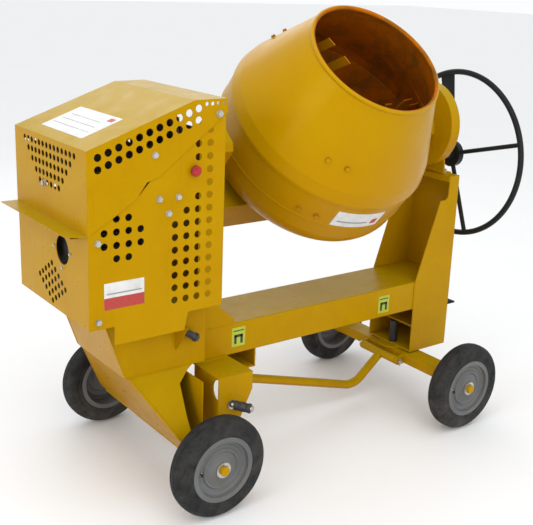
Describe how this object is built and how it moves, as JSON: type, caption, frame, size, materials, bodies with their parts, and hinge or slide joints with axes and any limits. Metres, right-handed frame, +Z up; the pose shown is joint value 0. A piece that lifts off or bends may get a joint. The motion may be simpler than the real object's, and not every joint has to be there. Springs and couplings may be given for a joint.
{
  "type": "towable concrete mixer",
  "caption": "Towable four-wheel site concrete mixer: tilting drum in a cradle turned by a spoked handwheel, engine under a perforated canopy, steered front axle with a stowed drawbar.",
  "frame": {"origin": "on the ground, at the centre of the footprint box", "axes": "+Z up, +X along the chassis from the engine end to the handwheel end, Y = 0 the chassis plane of symmetry"},
  "size_m": [1.849, 0.8756, 1.5757],
  "materials": {
    "yellow_paint": "satin",
    "drum_paint": "satin",
    "black_paint": "satin",
    "rim_paint": "satin",
    "tyre_rubber": "matte",
    "grip_rubber": "matte",
    "belt_rubber": "matte",
    "zinc": "satin",
    "bare_steel": "satin",
    "cast_iron": "matte",
    "dark_steel": "matte",
    "red_plastic": "gloss"
  },
  "bodies": {
    "chassis": {"main_beam": "yellow_paint", "left_pedestal": "yellow_paint", "right_pedestal": "yellow_paint", "bearing_plate": "yellow_paint", "right_trunnion_bearing": "cast_iron", "pinion_bearing": "cast_iron", "left_trunnion_bearing": "cast_iron", "engine_base": "yellow_paint", "rear_axle_carrier": "yellow_paint", "rear_axle": "yellow_paint", "rear_wheel_retainers": "zinc", "side_bracket_near": "yellow_paint", "side_bracket_far": "yellow_paint", "starting_handle": "zinc", "fork_pocket": "yellow_paint", "lower_canopy": "yellow_paint", "chassis_bolts": "zinc", "engine_block": "cast_iron", "fuel_tank": "dark_steel", "exhaust_silencer": "dark_steel", "drive_belt": "belt_rubber", "drain_hose": "grip_rubber"},
    "hood": {"hood": "yellow_paint", "hood_bolts": "zinc"},
    "stop_knob": {"stop_knob": "red_plastic"},
    "engine_pulley": {"engine_pulley": "cast_iron"},
    "drive_shaft": {"drive_shaft": "bare_steel", "drum_pulley": "cast_iron"},
    "cradle": {"yoke_left_arm": "yellow_paint", "yoke_cross_beam": "yellow_paint", "yoke_right_arm": "yellow_paint", "tilt_ring_gear": "yellow_paint", "gearbox_casing": "cast_iron", "drive_chain": "bare_steel", "drum_bearing": "cast_iron"},
    "handwheel": {"handwheel": "black_paint", "handwheel_pinion": "bare_steel"},
    "drum": {"drum_base": "drum_paint", "drum_cone": "drum_paint", "mixing_blades": "drum_paint", "blade_bolts": "drum_paint", "drum_spindle": "bare_steel", "crown_wheel": "cast_iron"},
    "input_shaft": {"input_shaft": "bare_steel"},
    "foot_pedal": {"foot_pedal": "black_paint"},
    "front_axle": {"swivel_axle": "yellow_paint", "king_pin": "dark_steel", "turntable_washer": "yellow_paint", "front_wheel_retainers": "zinc", "drawbar_pin": "zinc"},
    "drawbar": {"drawbar": "yellow_paint"},
    "handle_grip": {"handle_grip": "grip_rubber"},
    "wheel_rear_near": {"tyre_rear_near": "tyre_rubber", "rim_rear_near": "rim_paint"},
    "wheel_rear_far": {"tyre_rear_far": "tyre_rubber", "rim_rear_far": "rim_paint"},
    "wheel_front_near": {"tyre_front_near": "tyre_rubber", "rim_front_near": "rim_paint"},
    "wheel_front_far": {"tyre_front_far": "tyre_rubber", "rim_front_far": "rim_paint"}
  },
  "joints": [
    {"name": "hood_hinge", "type": "hinge", "parent": "chassis", "child": "hood", "pos_m": [-0.432, 0, 1.262], "axis": [0, 1, 0], "range_deg": [0, 70]},
    {"name": "stop_knob_press", "type": "slide", "parent": "chassis", "child": "stop_knob", "axis": [0, 1, 0], "range_m": [0, 0.006], "stiffness_N_per_m": 400},
    {"name": "crankshaft_turn", "type": "hinge", "parent": "chassis", "child": "engine_pulley", "pos_m": [-0.501, 0, 0.78], "axis": [1, 0, 0], "continuous": true},
    {"name": "drive_shaft_turn", "type": "hinge", "parent": "chassis", "child": "drive_shaft", "pos_m": [-0.501, 0, 1.126], "axis": [1, 0, 0], "continuous": true},
    {"name": "drum_tilt", "type": "hinge", "parent": "chassis", "child": "cradle", "pos_m": [0.195, 0, 1.126], "axis": [1, 0, 0], "range_deg": [-168, 85]},
    {"name": "handwheel_turn", "type": "hinge", "parent": "chassis", "child": "handwheel", "pos_m": [0.781, 0, 0.9895], "axis": [1, 0, 0], "range_deg": [-1478.4, 748]},
    {"name": "drum_spin", "type": "hinge", "parent": "cradle", "child": "drum", "pos_m": [0.195, 0.15541, 0.94972], "axis": [0, -0.6613, 0.7501], "continuous": true},
    {"name": "input_shaft_turn", "type": "hinge", "parent": "cradle", "child": "input_shaft", "pos_m": [-0.281, 0.2017, 0.89722], "axis": [1, 0, 0], "continuous": true},
    {"name": "pedal_press", "type": "hinge", "parent": "chassis", "child": "foot_pedal", "pos_m": [0.836, -0.03, 0.352], "axis": [0, 1, 0], "range_deg": [0, 15], "stiffness_Nm_per_rad": 6, "springref_deg": -5.16},
    {"name": "steering", "type": "hinge", "parent": "chassis", "child": "front_axle", "pos_m": [0.632, 0, 0.214], "axis": [0, 0, 1], "continuous": true},
    {"name": "drawbar_lift", "type": "hinge", "parent": "front_axle", "child": "drawbar", "pos_m": [0.564, 0, 0.18], "axis": [0, 1, 0], "range_deg": [-16, 3]},
    {"name": "grip_turn", "type": "hinge", "parent": "chassis", "child": "handle_grip", "pos_m": [-0.369, -0.2701, 0.297], "axis": [0.5, -0.866, 0], "continuous": true},
    {"name": "spin_rear_near", "type": "hinge", "parent": "chassis", "child": "wheel_rear_near", "pos_m": [-0.499, -0.3915, 0.168], "axis": [0, 1, 0], "continuous": true},
    {"name": "spin_rear_far", "type": "hinge", "parent": "chassis", "child": "wheel_rear_far", "pos_m": [-0.499, 0.3915, 0.168], "axis": [0, 1, 0], "continuous": true},
    {"name": "spin_front_near", "type": "hinge", "parent": "front_axle", "child": "wheel_front_near", "pos_m": [0.632, -0.3915, 0.168], "axis": [0, 1, 0], "continuous": true},
    {"name": "spin_front_far", "type": "hinge", "parent": "front_axle", "child": "wheel_front_far", "pos_m": [0.632, 0.3915, 0.168], "axis": [0, 1, 0], "continuous": true}
  ],
  "couplings": [
    {"joint": "handwheel_turn", "follows": "drum_tilt", "ratio": 8.8},
    {"joint": "drive_shaft_turn", "follows": "drum_spin", "ratio": 5.96},
    {"joint": "input_shaft_turn", "follows": "drum_spin", "ratio": 3.5},
    {"joint": "crankshaft_turn", "follows": "drum_spin", "ratio": 17.8}
  ]
}
